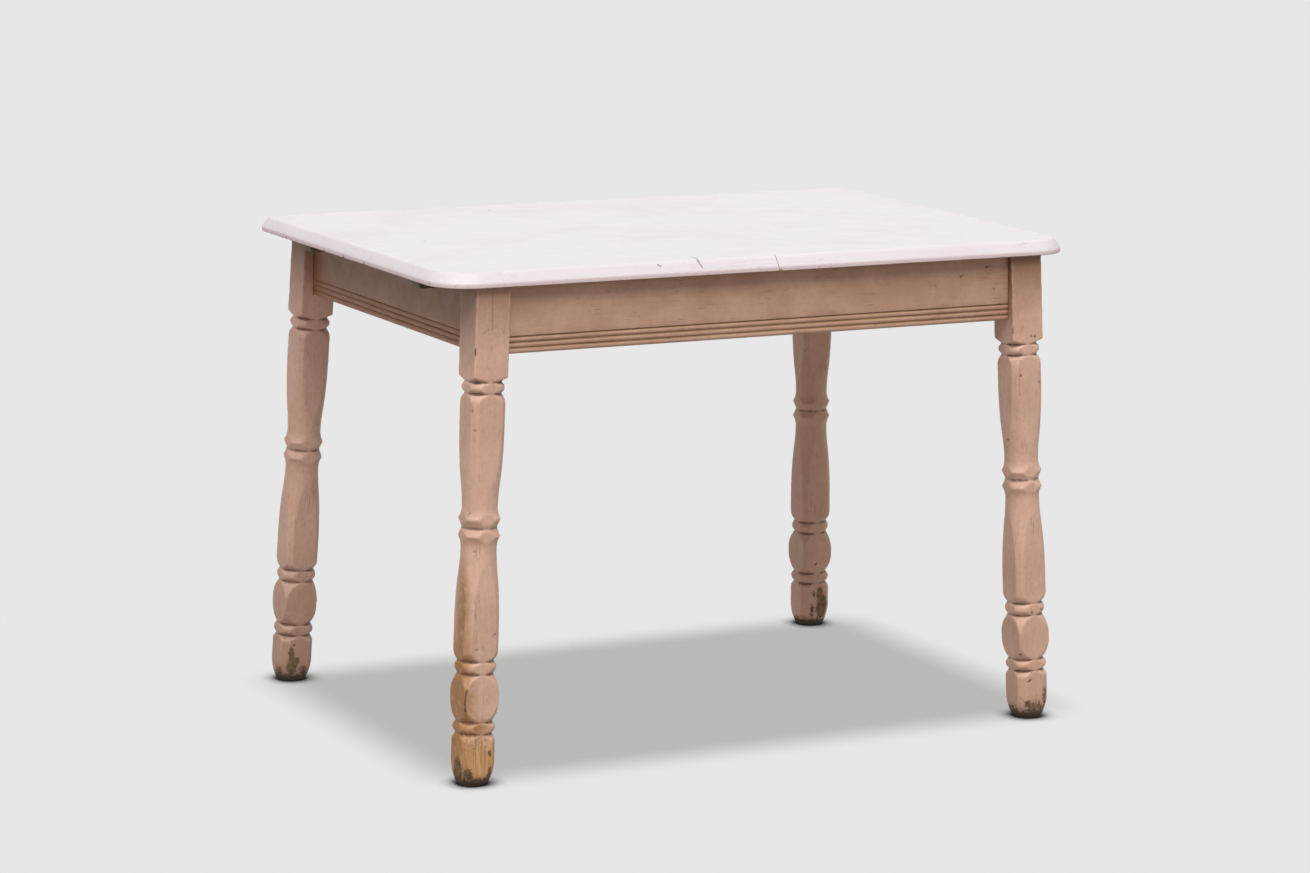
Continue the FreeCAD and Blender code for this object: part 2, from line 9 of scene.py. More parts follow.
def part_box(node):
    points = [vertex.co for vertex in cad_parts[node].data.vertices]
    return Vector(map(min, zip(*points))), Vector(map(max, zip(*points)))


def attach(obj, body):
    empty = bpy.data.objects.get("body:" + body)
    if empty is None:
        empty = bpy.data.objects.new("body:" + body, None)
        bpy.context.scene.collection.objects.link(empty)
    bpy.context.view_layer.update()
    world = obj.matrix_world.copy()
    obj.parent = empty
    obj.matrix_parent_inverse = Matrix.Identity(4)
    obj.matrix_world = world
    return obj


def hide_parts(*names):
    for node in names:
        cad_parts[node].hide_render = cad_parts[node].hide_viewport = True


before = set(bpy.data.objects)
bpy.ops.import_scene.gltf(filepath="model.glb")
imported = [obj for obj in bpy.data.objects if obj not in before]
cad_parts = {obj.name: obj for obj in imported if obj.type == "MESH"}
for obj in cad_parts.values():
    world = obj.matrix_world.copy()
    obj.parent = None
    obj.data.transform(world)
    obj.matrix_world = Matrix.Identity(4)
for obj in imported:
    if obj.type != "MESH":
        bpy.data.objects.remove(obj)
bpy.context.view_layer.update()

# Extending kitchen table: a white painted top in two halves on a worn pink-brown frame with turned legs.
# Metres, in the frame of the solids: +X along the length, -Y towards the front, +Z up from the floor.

MM = 0.001

# The photograph's camera
PHOTO_WIDTH = 1310
FOCAL_LENGTH_PIXELS = 4000.1
SENSOR_WIDTH = 36.0
CAMERA_PLACE = Vector((-2.9675, -5.5869, 1.6197))
CAMERA_YAW = math.radians(27.92)
CAMERA_PITCH = math.radians(10.65)
CAMERA_ROLL = math.radians(-0.99)

# Axes that wood grain and brush strokes run along
LENGTH, WIDTH, HEIGHT = 0, 1, 2

SIDES = (("left", -1), ("right", 1))
DEPTHS = ("front", "rear")
LEGS = [f"leg_{depth}_{side}" for depth in DEPTHS for side, _ in SIDES]
INWARD = {
    "apron_front": Vector((0, 1, 0)),
    "apron_rear": Vector((0, -1, 0)),
    "apron_left_end": Vector((1, 0, 0)),
    "apron_right_end": Vector((-1, 0, 0)),
}
REEDS = 3
REED_HEIGHT = 8.5 * MM
REED_GROOVE = 0.6 * MM
APRON_TENON_DEPTH = 6 * MM
APRON_ARRIS = 0.8 * MM
BOARD_ARRIS = 0.7 * MM

# The top and its edge
FRONT_CORNER_RADIUS = 65 * MM
REAR_CORNER_RADIUS = 32 * MM
BEVEL_WIDTH = 12 * MM
BEVEL_HEIGHT = 15.5 * MM
RIDGE_ROUND = 3.2 * MM
NOSE_ROUND = 1.8 * MM
LOWER_ROUND = 1.4 * MM
WORKED_EDGE = 24 * MM
SEAM = 10.5 * MM
SEAM_GAP = 0.2 * MM
SEAM_ARRIS = 0.2 * MM
DOWELS = 3
DOWEL_SPACING = 250 * MM
SOCKET_RADIUS = 5.4 * MM
SOCKET_DEPTH = 24.8 * MM

# Sizes of the faces that dents and marks sit on
LEG_NET = 1.45 * MM
APRON_NET = 12 * MM
TOP_NET = 8 * MM
NEAR_A_MARK = 6 * MM
CUTS_NEAR_A_MARK = 7
# Edges sharper than this many degrees stay crisp in the shading.
CRISP_ON_BOARDS = 35
CRISP_ON_TOP = 26

# How far down painted shade under the top browns the paint, and how strongly: on the long aprons, on
# whatever faces an end, and on the other faces of the legs
SHADE_UNDER_TOP_ON_SIDES = (60 * MM, 0.1)
SHADE_UNDER_TOP_ON_ENDS = (125 * MM, 1.0)
SHADE_UNDER_TOP_ON_LEGS = (95 * MM, 0.72)
# How much more painted shade the long aprons have at their right end than at their left
RIGHT_END_SHADE = 0.17
# How many times more painted shade under the top a leg has than the others
MORE_SHADE_UNDER_TOP = {"leg_front_right": 1.45, "leg_rear_left": 1.1}
# How far up the legs painted shade reaches, darker towards the floor, and how strongly on each one
LOW_LEG_SHADE_HEIGHT = 300 * MM
LOW_LEG_SHADE = {"leg_front_left": 0.08, "leg_front_right": 0.12, "leg_rear_left": 0.55, "leg_rear_right": 0.12}
SOLE_HEIGHT = 22 * MM

# Marks of use, in millimetres. A patch is a place, how far it reaches each way, and how strong it is.
BARE_PATCHES = {
    "leg_front_left": [((-494, -352, 20), (46, 46, 60), 1.0)],
}
RUBBED_PATCHES = {
    "leg_front_left": [((-520, -348, 120), (22, 34, 130), 1.0), ((-508, -362, 88), (32, 24, 18), 0.9),
                       ((-514, -350, 260), (9, 20, 110), 0.8)],
}
GRIME_PATCHES = {
    "leg_front_left": [((-520, -357, 24), (7, 12, 20), 1.0), ((-511, -375, 20), (8, 7, 10), 0.8),
                       ((-476, -376, 21), (5, 6, 9), 0.8), ((-476, -378, 50), (3, 4, 5), 0.8)],
    "leg_front_right": [((490, -379, 12), (24, 10, 22), 0.62), ((477, -378, 25), (7, 5, 8), 0.7),
                        ((508, -376, 34), (6, 9, 24), 0.6), ((466, -352, 10), (10, 18, 14), 0.6)],
    "leg_rear_left": [((-504, 322, 48), (5, 6, 11), 0.9), ((-502, 323, 27), (9, 7, 17), 0.9),
                      ((-493, 322, 35), (4, 5, 6), 0.7), ((-483, 323, 17), (8, 8, 12), 0.62),
                      ((-520, 339, 15), (7, 12, 15), 0.65)],
    "leg_rear_right": [((495, 321, 58), (6, 6, 13), 0.9), ((500, 322, 36), (11, 7, 24), 0.9),
                       ((484, 321, 58), (3, 5, 6), 0.7), ((481, 322, 28), (4, 6, 15), 0.7)],
}
PITS = {
    "leg_front_left": [(-466, -370, 229)],
    "leg_front_right": [(479, -377, 63), (477.5, -377, 62), (480.5, -377, 64), (477, -378.5, 25),
                        (440, -353, 631), (440, -353, 626), (474, -355, 619), (481, -355, 618),
                        (456, -357, 557), (490, -358, 545), (447, -338, 451), (464, -369, 106),
                        (499, -372, 178), (482, -372, 174)],
    "leg_rear_left": [(-499, 322, 62), (-508, 320, 96), (-512, 330, 73)],
    "leg_rear_right": [(484, 319, 112)],
    "apron_front": [(348, -340, 718), (410, -340, 696), (395, -340, 731)],
    "top_left": [(-423, -16, 770), (-172, 279, 770)],
}
FAINT_PITS = {
    "leg_front_left": [(-497, -351, 565), (-495, -355, 537), (-501, -351, 412), (-495, -358, 355),
                       (-497, -369, 261), (-496, -371, 209)],
}
# Places where the top's edge has lost its paint
CHIPS = {
    "top_left": [(-550, 233, 750), (-550, 84, 748), (-550, 6, 749), (-550, -70, 749), (-548.6, -307, 751)],
    "top_right": [(14, -360, 748.5)],
}
# Drying cracks and fainter scratches, as lines of points
CRACKS = {
    "leg_front_left": [((-513.4, -373.2, 148), (-515.7, -372.4, 133), (-515.3, -372.6, 117)),
                       ((-493.6, -353.3, 658), (-494.6, -353.2, 655), (-494.2, -353.3, 649))],
    "top_left": [((-118, -313, 770), (-115, -318, 770), (-117, -330, 770), (-123, -348, 769.5),
                  (-120.5, -353.3, 763.2), (-119.4, -356, 760)),
                 ((-192.6, -350.3, 767), (-188.6, -352.4, 764.4))],
}
SCRATCHES = {
    "leg_front_left": [((-465.5, -349.7, 743), (-466, -352.1, 683)),
                       ((-480.2, -352.2, 680), (-472, -352, 685)),
                       ((-496.5, -369, 278), (-498, -369, 266), (-496.5, -370, 252)),
                       ((-496, -371, 234), (-497, -371, 220))],
    "leg_front_right": [((452.6, -356.6, 570), (453.2, -358.4, 525)),
                        ((466.3, -371.2, 36), (471.5, -375.4, 29))],
}
# How far each kind of mark reaches to either side, how strong the fainter ones are, and how deep they go
PIT_REACH = 2.6 * MM
STAIN_REACH = 2.4 * MM
SPECK_REACH = 3 * MM
CHIP_REACH = 3.6 * MM
LEG_CRACK_REACH = 2.6 * MM
TOP_CRACK_REACH = 1.6 * MM
SCRATCH_REACH = 1.5 * MM
SCRATCH_STRENGTH = 0.45
FAINT_PIT_STRENGTH = 0.6
LEG_MARK_DEPTH = 1.0 * MM
TOP_MARK_DEPTH = 0.9 * MM
CHIP_DEPTH_SHARE = 0.6
JOINT_REACH = 2.2 * MM
# A mark's outline is shifted by lumps of this size, by up to so much.
OUTLINE_LUMPS = 4 * MM
OUTLINE_SHIFT = 1.3 * MM
# Knocked corners and uneven surfaces: size in millimetres, seed and depth. A leg adds its number to the seed.
LEG_KNOCKS = (26, 0, 0.6 * MM)
LEG_WAVES = (38, 10, 0.12 * MM)
TOP_WAVES = (90, 5, 0.06 * MM)
EDGE_WAVES = ((55, 3, 0.28 * MM), (15, 4, 0.1 * MM))
# Relief is how far a point stands out of its smoothed surroundings in millimetres, and the finish reads it
# as dirt in hollows, and on ridges as rubbing with a painted highlight: rounds of smoothing, the most a
# ridge counts for, and what a joint and a groove count as.
RELIEF_ROUNDS = 24
RIDGE_LIMIT = 0.6
JOINT_RELIEF = -0.8
REED_RELIEF = -0.26

# The studio: light as a share of full white
BACKDROP = "#e7e7e7"
FROM_ABOVE = 0.28
# Light that comes back from below is warmed by the brown paint and wood.
FROM_BELOW = [0.36, 0.31, 0.265, 1.0]
# The share of the floor's brightness that stays in the shadow of the top
KEPT_IN_SHADOW = 0.557
# How far the painted contact shadow reaches around the feet
CONTACT_REACH = 34 * MM
# Lamps: name, irradiance, angular size in degrees, where they shine from, and what they light. The floor's
# own lamp draws the shadow of the top.
LAMPS = (
    ("front_fill", 0.67, 34, Vector((-0.2, -1, 1.63)), "table"),
    ("left_fill", 0.25, 42, Vector((-1, -0.3, 1.2)), "table"),
    ("floor_light", 1.50, 9, Vector((-0.03, -0.012, 1)), "floor"),
)


def linear(hex_colour):
    """An sRGB hex colour as linear red, green, blue and alpha."""
    channels = [int(hex_colour[start:start + 2], 16) / 255 for start in (1, 3, 5)]
    return [c / 12.92 if c <= 0.04045 else ((c + 0.055) / 1.055) ** 2.4 for c in channels] + [1.0]


def per(millimetres):
    """A texture scale that repeats about once in this many millimetres."""
    return 1000 / millimetres


def add(tree, kind, inputs=None, **settings):
    """Add a shader node: an input given a node or a socket is linked to it, and any other gets the value."""
    node = tree.nodes.new("ShaderNode" + kind)
    for name, value in settings.items():
        setattr(node, name, value)
    for name, value in (inputs or {}).items():
        if isinstance(value, bpy.types.Node):
            value = next(output for output in value.outputs if output.enabled)
        if isinstance(value, bpy.types.NodeSocket):
            tree.links.new(value, node.inputs[name])
        else:
            node.inputs[name].default_value = value
    return node


def new_material(name):
    """A material with an empty node tree, and its tree."""
    material = bpy.data.materials.new(name)
    material.use_nodes = True
    material.node_tree.nodes.clear()
    return material, material.node_tree


# Patterns that the finishes share

def cloudy(tree, place, size, start, end):
    """Soft patches of about this size in millimetres, from 0 to 1 between two levels of the noise."""
    patches = add(tree, "TexNoise", {"Vector": place, "Scale": per(size), "Detail": 4.0, "Roughness": 0.6})
    return add(tree, "MapRange", {"Value": patches.outputs["Fac"], "From Min": start, "From Max": end},
               interpolation_type="SMOOTHSTEP")


def streaks(tree, place, along, width, length):
    """Noise drawn out along the grain, about so many millimetres wide and long."""
    scale = [per(width)] * 3
    scale[along] = per(length)
    drawn = add(tree, "Mapping", {"Vector": place, "Scale": scale})
    return add(tree, "TexNoise", {"Vector": drawn, "Scale": 1.0, "Detail": 3.0,
                                  "Roughness": 0.6, "Distortion": 0.4}).outputs["Fac"]


def hairlines(tree, place, along, width, length, fineness):
    """Thin broken lines along the grain, where the drawn-out noise crosses its middle."""
    level = streaks(tree, place, along, width, length)
    off_middle = add(tree, "Math", {0: level, 1: 0.5}, operation="SUBTRACT")
    distance = add(tree, "Math", {0: off_middle}, operation="ABSOLUTE")
    line = add(tree, "MapRange", {"Value": distance, "From Min": fineness, "From Max": 0.0},
               interpolation_type="SMOOTHSTEP")
    broken = cloudy(tree, place, width * 6, 0.5, 0.66)
    return add(tree, "Math", {0: line, 1: broken}, operation="MULTIPLY")


def specks(tree, place, spacing, size, share):
    """Round specks of this size in millimetres, in a share of cells of this spacing."""
    cells = add(tree, "TexVoronoi", {"Vector": place, "Scale": per(spacing)})
    spot = add(tree, "MapRange", {"Value": cells.outputs["Distance"], "From Min": size / spacing,
                                  "From Max": size / spacing / 3}, interpolation_type="SMOOTHSTEP")
    chance = add(tree, "SeparateColor", {0: cells.outputs["Color"]})
    chosen = add(tree, "Math", {0: chance.outputs[0], 1: share}, operation="LESS_THAN")
    return add(tree, "Math", {0: spot, 1: chosen}, operation="MULTIPLY")


def grained_wood(tree, place, along, pale, dark):
    """Wood colour with drawn-out grain between a pale and a dark tone."""
    wide = streaks(tree, place, along, 9, 240)
    fine = streaks(tree, place, along, 1.6, 60)
    grain = add(tree, "Math", {0: wide, 1: fine}, operation="ADD")
    tone = add(tree, "MapRange", {"Value": grain, "From Min": 0.75, "From Max": 1.3},
               interpolation_type="SMOOTHSTEP")
    return add(tree, "Mix", {0: tone, 6: linear(pale), 7: linear(dark)}, data_type="RGBA")


# Layers of the frame's paint, each with the colour before it and after it

def brushed_coats(tree, place, along, tone, shade):
    """Patchy paint with a fine mottle and brush strokes: its colour, the mottle and the strokes."""
    patchy = cloudy(tree, place, 85, 0.36, 0.66)
    colour = add(tree, "Mix", {0: patchy, 6: linear(tone), 7: linear(shade)}, data_type="RGBA")
    mottle = cloudy(tree, place, 7, 0.38, 0.7)
    weak_mottle = add(tree, "Math", {0: mottle, 1: 0.2}, operation="MULTIPLY")
    colour = add(tree, "Mix", {0: weak_mottle, 6: colour, 7: linear("#ad8672")}, data_type="RGBA")
    # The strokes of a real brush are finer, and are drawn this wide to show.
    strokes = streaks(tree, place, along, 2.2, 90)
    brushed = add(tree, "MapRange", {"Value": strokes, "From Min": 0.42, "From Max": 0.72, "To Max": 0.2})
    colour = add(tree, "Mix", {0: brushed, 6: colour, 7: linear("#b08874")}, data_type="RGBA")
    return colour, mottle, strokes


def shaded_and_rubbed(tree, place, worn, colour):
    """Paint browned by painted shade under the top and towards the floor, and thin where hands and brooms rub
    it,
    so that the ochre wood warms it: its colour and the rubbed share."""
    # The painted shade under the top and towards the floor browns the paint here.
    colour = add(tree, "Mix", {0: worn["soot"], 6: colour, 7: linear("#82593b")}, data_type="RGBA")
    blotchy = cloudy(tree, place, 11, 0.15, 0.55)
    blotchy_rub = add(tree, "Math", {0: worn["rubbed"], 1: blotchy}, operation="MULTIPLY")
    rubbed = add(tree, "Math", {0: blotchy_rub, 1: 1.25}, operation="MULTIPLY", use_clamp=True)
    colour = add(tree, "Mix", {0: rubbed, 6: colour, 7: linear("#a97335")}, data_type="RGBA")
    return colour, rubbed


def grooves_and_ridges(tree, place, relief, colour):
    """Dirt settled unevenly in the grooves, and ridges made paler: partly rubbed paint, partly a painted
    highlight.
    """
    groove = add(tree, "MapRange", {"Value": relief, "From Min": -0.06, "From Max": -0.5, "To Max": 0.85},
                 interpolation_type="SMOOTHSTEP")
    settled = cloudy(tree, place, 10, 0.2, 0.55)
    uneven_groove = add(tree, "Math", {0: groove, 1: settled}, operation="MULTIPLY")
    colour = add(tree, "Mix", {0: uneven_groove, 6: colour, 7: linear("#5f4230")}, data_type="RGBA")
    # Ridges are paler: partly rubbed paint, partly a painted highlight.
    ridge = add(tree, "MapRange", {"Value": relief, "From Min": 0.12, "From Max": 0.6, "To Max": 0.24},
                interpolation_type="SMOOTHSTEP")
    rub_and_highlight = cloudy(tree, place, 16, 0.34, 0.62)
    uneven_ridge = add(tree, "Math", {0: ridge, 1: rub_and_highlight}, operation="MULTIPLY")
    return add(tree, "Mix", {0: uneven_ridge, 6: colour, 7: linear("#e6c9b6")}, data_type="RGBA")


def worn_to_wood(tree, place, along, mark, fray, rubbed, colour):
    """Bare ochre wood where the paint has worn through: the colour and the bare share."""
    reach = add(tree, "Math", {0: mark, 1: fray}, operation="ADD")
    bare = add(tree, "MapRange", {"Value": reach, "From Min": 0.44, "From Max": 0.54},
               interpolation_type="SMOOTHSTEP")
    wood = grained_wood(tree, place, along, "#dcae7c", "#b08150")
    oiled = add(tree, "Math", {0: rubbed, 1: 0.55}, operation="MULTIPLY")
    wood = add(tree, "Mix", {0: oiled, 6: wood, 7: linear("#9a642c")}, data_type="RGBA")
    pores = specks(tree, place, 3.2, 0.9, 0.45)
    weak_pores = add(tree, "Math", {0: pores, 1: 0.6}, operation="MULTIPLY")
    wood = add(tree, "Mix", {0: weak_pores, 6: wood, 7: linear("#5c3f26")}, data_type="RGBA")
    colour = add(tree, "Mix", {0: bare, 6: colour, 7: wood}, data_type="RGBA")
    return colour, bare


def dirt_and_sole_shade(tree, place, mark, fray, colour):
    """Damp dirt that stains the paint softly around it and breaks it off with a dark rim, and soles that are
    nearly black, partly with floor dirt and partly with painted shade near the floor: the colour and the
    dirty and shaded share."""
    stained = add(tree, "MapRange", {"Value": mark, "From Min": 0.02, "From Max": 0.7, "To Max": 0.5},
                  interpolation_type="SMOOTHSTEP")
    colour = add(tree, "Mix", {0: stained, 6: colour, 7: linear("#8c6a4a")}, data_type="RGBA")
    reach = add(tree, "Math", {0: mark, 1: fray}, operation="ADD")
    dirty_and_shaded = add(tree, "MapRange", {"Value": reach, "From Min": 0.46, "From Max": 0.56, "To Max": 0.92},
                interpolation_type="SMOOTHSTEP")
    mould = cloudy(tree, place, 6, 0.36, 0.62)
    dirt = add(tree, "Mix", {0: mould, 6: linear("#4c3927"), 7: linear("#80633f")}, data_type="RGBA")
    colour = add(tree, "Mix", {0: dirty_and_shaded, 6: colour, 7: dirt}, data_type="RGBA")
    off_rim = add(tree, "Math", {0: reach, 1: 0.5}, operation="SUBTRACT")
    from_rim = add(tree, "Math", {0: off_rim}, operation="ABSOLUTE")
    rim = add(tree, "MapRange", {"Value": from_rim, "From Min": 0.07, "From Max": 0.0, "To Max": 0.6},
              interpolation_type="SMOOTHSTEP")
    colour = add(tree, "Mix", {0: rim, 6: colour, 7: linear("#3c2a1c")}, data_type="RGBA")
    # The soles darken towards the floor: partly floor dirt, partly painted shade.
    height = add(tree, "SeparateXYZ", {0: place}).outputs[2]
    frayed_height = add(tree, "Math", {0: fray, 1: -14 * MM, 2: height}, operation="MULTIPLY_ADD")
    sole_dirt_and_shade = add(tree, "MapRange", {"Value": frayed_height, "From Min": SOLE_HEIGHT,
                                  "From Max": 3 * MM, "To Max": 0.85}, interpolation_type="SMOOTHSTEP")
    colour = add(tree, "Mix", {0: sole_dirt_and_shade, 6: colour, 7: linear("#33281d")}, data_type="RGBA")
    return colour, dirty_and_shaded


def pitted(tree, place, mark, colour):
    """Small pits scattered all over, and the larger ones that are marked on the mesh."""
    small_pits = specks(tree, place, 15, 1.3, 0.3)
    fine_pits = specks(tree, place, 5, 0.6, 0.2)
    scattered = add(tree, "Math", {0: small_pits, 1: fine_pits}, operation="MAXIMUM")
    weak_pits = add(tree, "Math", {0: scattered, 1: 0.65}, operation="MULTIPLY")
    all_pits = add(tree, "Math", {0: mark, 1: weak_pits}, operation="MAXIMUM")
    dark_pits = add(tree, "Math", {0: all_pits, 1: 0.92}, operation="MULTIPLY")
    return add(tree, "Mix", {0: dark_pits, 6: colour, 7: linear("#33241a")}, data_type="RGBA")


# Finishes

def frame_paint(name, tone, shade, along):
    """Old satin oil paint brushed over pine and handled for decades: patchy tan-pink with fine cracks along
    the grain, dirt in the grooves, paler rubbed edges, and bare ochre wood where it has worn through."""
    material, tree = new_material(name)
    place = add(tree, "TexCoord").outputs["Object"]
    worn = {}
    for mark in ("relief", "soot", "bare", "rubbed", "grime", "pit"):
        worn[mark] = add(tree, "Attribute", attribute_name=mark).outputs["Fac"]

    colour, mottle, strokes = brushed_coats(tree, place, along, tone, shade)
    colour, rubbed = shaded_and_rubbed(tree, place, worn, colour)
    colour = grooves_and_ridges(tree, place, worn["relief"], colour)
    cracked = hairlines(tree, place, along, 5, 150, 0.022)
    weak_crack = add(tree, "Math", {0: cracked, 1: 0.55}, operation="MULTIPLY")
    colour = add(tree, "Mix", {0: weak_crack, 6: colour, 7: linear("#6d4c3b")}, data_type="RGBA")
    # Worn places have a frayed edge: the reach of the mark is shifted by small clumps.
    clumps = add(tree, "TexNoise", {"Vector": place, "Scale": per(4.5), "Detail": 6.0, "Roughness": 0.7})
    fray = add(tree, "MapRange", {"Value": clumps.outputs["Fac"], "From Min": 0.25, "From Max": 0.75,
                                  "To Min": -0.42, "To Max": 0.42})
    colour, bare = worn_to_wood(tree, place, along, worn["bare"], fray, rubbed, colour)
    colour, dirty_and_shaded = dirt_and_sole_shade(tree, place, worn["grime"], fray, colour)
    colour = pitted(tree, place, worn["pit"], colour)

    gloss = cloudy(tree, place, 24, 0.3, 0.7)
    satin = add(tree, "MapRange", {"Value": gloss, "To Min": 0.4, "To Max": 0.56})
    dull = add(tree, "Math", {0: bare, 1: dirty_and_shaded}, operation="MAXIMUM")
    roughness = add(tree, "Mix", {0: dull, 2: satin, 3: 0.78}, data_type="FLOAT")
    sunk = add(tree, "Math", {0: bare, 1: -0.5, 2: strokes}, operation="MULTIPLY_ADD")
    sunk = add(tree, "Math", {0: cracked, 1: -0.6, 2: sunk}, operation="MULTIPLY_ADD")
    sunk = add(tree, "Math", {0: mottle, 1: 0.35, 2: sunk}, operation="MULTIPLY_ADD")
    bump = add(tree, "Bump", {"Strength": 0.5, "Distance": 0.35 * MM, "Height": sunk})
    shader = add(tree, "BsdfPrincipled", {"Base Color": colour, "Roughness": roughness, "Normal": bump})
    add(tree, "OutputMaterial", {"Surface": shader})
    return material


def shaded_and_handled_edge(tree, place, on_bevel, height, colour):
    """A bevel a little greyer than the flat, a painted shade, with fine crackle, and under it the upright
    edge, which is handled most and is grey-pink: partly grubby, partly painted shade."""
    # The bevel's greyer tint is painted shade.
    bevel_shade = add(tree, "Math", {0: on_bevel, 1: 0.3}, operation="MULTIPLY")
    colour = add(tree, "Mix", {0: bevel_shade, 6: colour, 7: linear("#d9c9d2")}, data_type="RGBA")
    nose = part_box("top_left")[1][2] - BEVEL_HEIGHT
    # The upright edge's grey-pink band is partly grubby paint, partly painted shade.
    band = add(tree, "MapRange", {"Value": height, "From Min": nose + 1.5 * MM, "From Max": nose - 2.5 * MM,
                                  "To Max": 0.75}, interpolation_type="SMOOTHSTEP")
    colour = add(tree, "Mix", {0: band, 6: colour, 7: linear("#ecd3d6")}, data_type="RGBA")
    grubby = cloudy(tree, place, 8, 0.55, 0.75)
    grubby_band = add(tree, "Math", {0: band, 1: grubby}, operation="MULTIPLY")
    colour = add(tree, "Mix", {0: grubby_band, 6: colour, 7: linear("#cdb6b6")}, data_type="RGBA")
    crackle = hairlines(tree, place, LENGTH, 10, 60, 0.02)
    bevel_crackle = add(tree, "Math", {0: crackle, 1: on_bevel}, operation="MULTIPLY")
    weak_crackle = add(tree, "Math", {0: bevel_crackle, 1: 0.35}, operation="MULTIPLY")
    return add(tree, "Mix", {0: weak_crackle, 6: colour, 7: linear("#a8959c")}, data_type="RGBA")


def top_paint():
    """White satin oil paint brushed lengthwise: fine brush lines, faint pink-grey clouds, a few dark specks,
    a bevel greyed by painted shade, and a grey-pink lower edge that is partly rubbed, partly painted shade."""
    material, tree = new_material("white_satin_top_paint")
    place = add(tree, "TexCoord").outputs["Object"]
    crack = add(tree, "Attribute", attribute_name="pit").outputs["Fac"]
    chipped = add(tree, "Attribute", attribute_name="bare").outputs["Fac"]
    height = add(tree, "SeparateXYZ", {0: place}).outputs[2]
    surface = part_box("top_left")[1][2]
    on_bevel = add(tree, "MapRange", {"Value": height, "From Min": surface - 0.3 * MM,
                                      "From Max": surface - 2 * MM})

    patchy = cloudy(tree, place, 160, 0.38, 0.68)
    colour = add(tree, "Mix", {0: patchy, 6: linear("#eee9ec"), 7: linear("#eae3e7")}, data_type="RGBA")
    # The strokes of a real brush are finer, and are drawn this wide to show.
    strokes = streaks(tree, place, LENGTH, 2.4, 220)
    brushed = add(tree, "MapRange", {"Value": strokes, "From Min": 0.45, "From Max": 0.75, "To Max": 0.45})
    colour = add(tree, "Mix", {0: brushed, 6: colour, 7: linear("#ded3d9")}, data_type="RGBA")
    colour = shaded_and_handled_edge(tree, place, on_bevel, height, colour)
    dots = specks(tree, place, 70, 1.6, 0.12)
    marked = add(tree, "Math", {0: dots, 1: crack}, operation="MAXIMUM")
    weak_mark = add(tree, "Math", {0: marked, 1: 0.9}, operation="MULTIPLY")
    colour = add(tree, "Mix", {0: weak_mark, 6: colour, 7: linear("#5f4c49")}, data_type="RGBA")
    wood = grained_wood(tree, place, LENGTH, "#a98562", "#7b5c41")
    weak_chip = add(tree, "Math", {0: chipped, 1: 0.7}, operation="MULTIPLY")
    colour = add(tree, "Mix", {0: weak_chip, 6: colour, 7: wood}, data_type="RGBA")

    gloss = cloudy(tree, place, 40, 0.3, 0.7)
    roughness = add(tree, "MapRange", {"Value": gloss, "To Min": 0.34, "To Max": 0.48})
    # The bevel was worked by hand, and the paint lies on it in lumps.
    lumps = cloudy(tree, place, 9, 0.25, 0.75)
    bevel_lumps = add(tree, "Math", {0: lumps, 1: on_bevel}, operation="MULTIPLY")
    relief = add(tree, "Math", {0: bevel_lumps, 1: 3.0, 2: strokes}, operation="MULTIPLY_ADD")
    bump = add(tree, "Bump", {"Strength": 0.4, "Distance": 0.25 * MM, "Height": relief})
    shader = add(tree, "BsdfPrincipled", {"Base Color": colour, "Roughness": roughness, "Normal": bump})
    add(tree, "OutputMaterial", {"Surface": shader})
    return material


def bare_wood(name, along, pale, dark, end_tone):
    """Planed softwood left bare and gone dull: drawn-out grain, dark hairlines, and darker end grain."""
    material, tree = new_material(name)
    coordinates = add(tree, "TexCoord")
    place = coordinates.outputs["Object"]
    colour = grained_wood(tree, place, along, pale, dark)
    lines = hairlines(tree, place, along, 4, 180, 0.03)
    weak_line = add(tree, "Math", {0: lines, 1: 0.6}, operation="MULTIPLY")
    colour = add(tree, "Mix", {0: weak_line, 6: colour, 7: linear(dark)}, data_type="RGBA")
    facing = add(tree, "SeparateXYZ", {0: coordinates.outputs["Normal"]}).outputs[along]
    squarely = add(tree, "Math", {0: facing}, operation="ABSOLUTE")
    end = add(tree, "MapRange", {"Value": squarely, "From Min": 0.75, "From Max": 0.95},
              interpolation_type="SMOOTHSTEP")
    # The pores of real end grain are far finer, and are drawn this large to show.
    pores = cloudy(tree, place, 1.5, 0.35, 0.7)
    end_grain = add(tree, "Mix", {0: pores, 6: linear(end_tone), 7: linear(dark)}, data_type="RGBA")
    colour = add(tree, "Mix", {0: end, 6: colour, 7: end_grain}, data_type="RGBA")
    dusty = cloudy(tree, place, 50, 0.3, 0.7)
    roughness = add(tree, "MapRange", {"Value": dusty, "To Min": 0.62, "To Max": 0.8})
    relief = streaks(tree, place, along, 1.6, 60)
    bump = add(tree, "Bump", {"Strength": 0.4, "Distance": 0.3 * MM, "Height": relief})
    shader = add(tree, "BsdfPrincipled", {"Base Color": colour, "Roughness": roughness, "Normal": bump})
    add(tree, "OutputMaterial", {"Surface": shader})
    return material


def screw_steel():
    """Plain steel wood screws gone dull, with brown rust in small clouds."""
    material, tree = new_material("dull_screw_steel")
    place = add(tree, "TexCoord").outputs["Object"]
    rust = cloudy(tree, place, 4, 0.45, 0.68)
    colour = add(tree, "Mix", {0: rust, 6: linear("#8c8780"), 7: linear("#5c4231")}, data_type="RGBA")
    roughness = add(tree, "MapRange", {"Value": rust, "To Min": 0.38, "To Max": 0.75})
    bright = add(tree, "MapRange", {"Value": rust, "To Min": 1.0, "To Max": 0.15})
    shader = add(tree, "BsdfPrincipled", {"Base Color": colour, "Roughness": roughness, "Metallic": bright})
    add(tree, "OutputMaterial", {"Surface": shader})
    return material


# Marks of use on a mesh

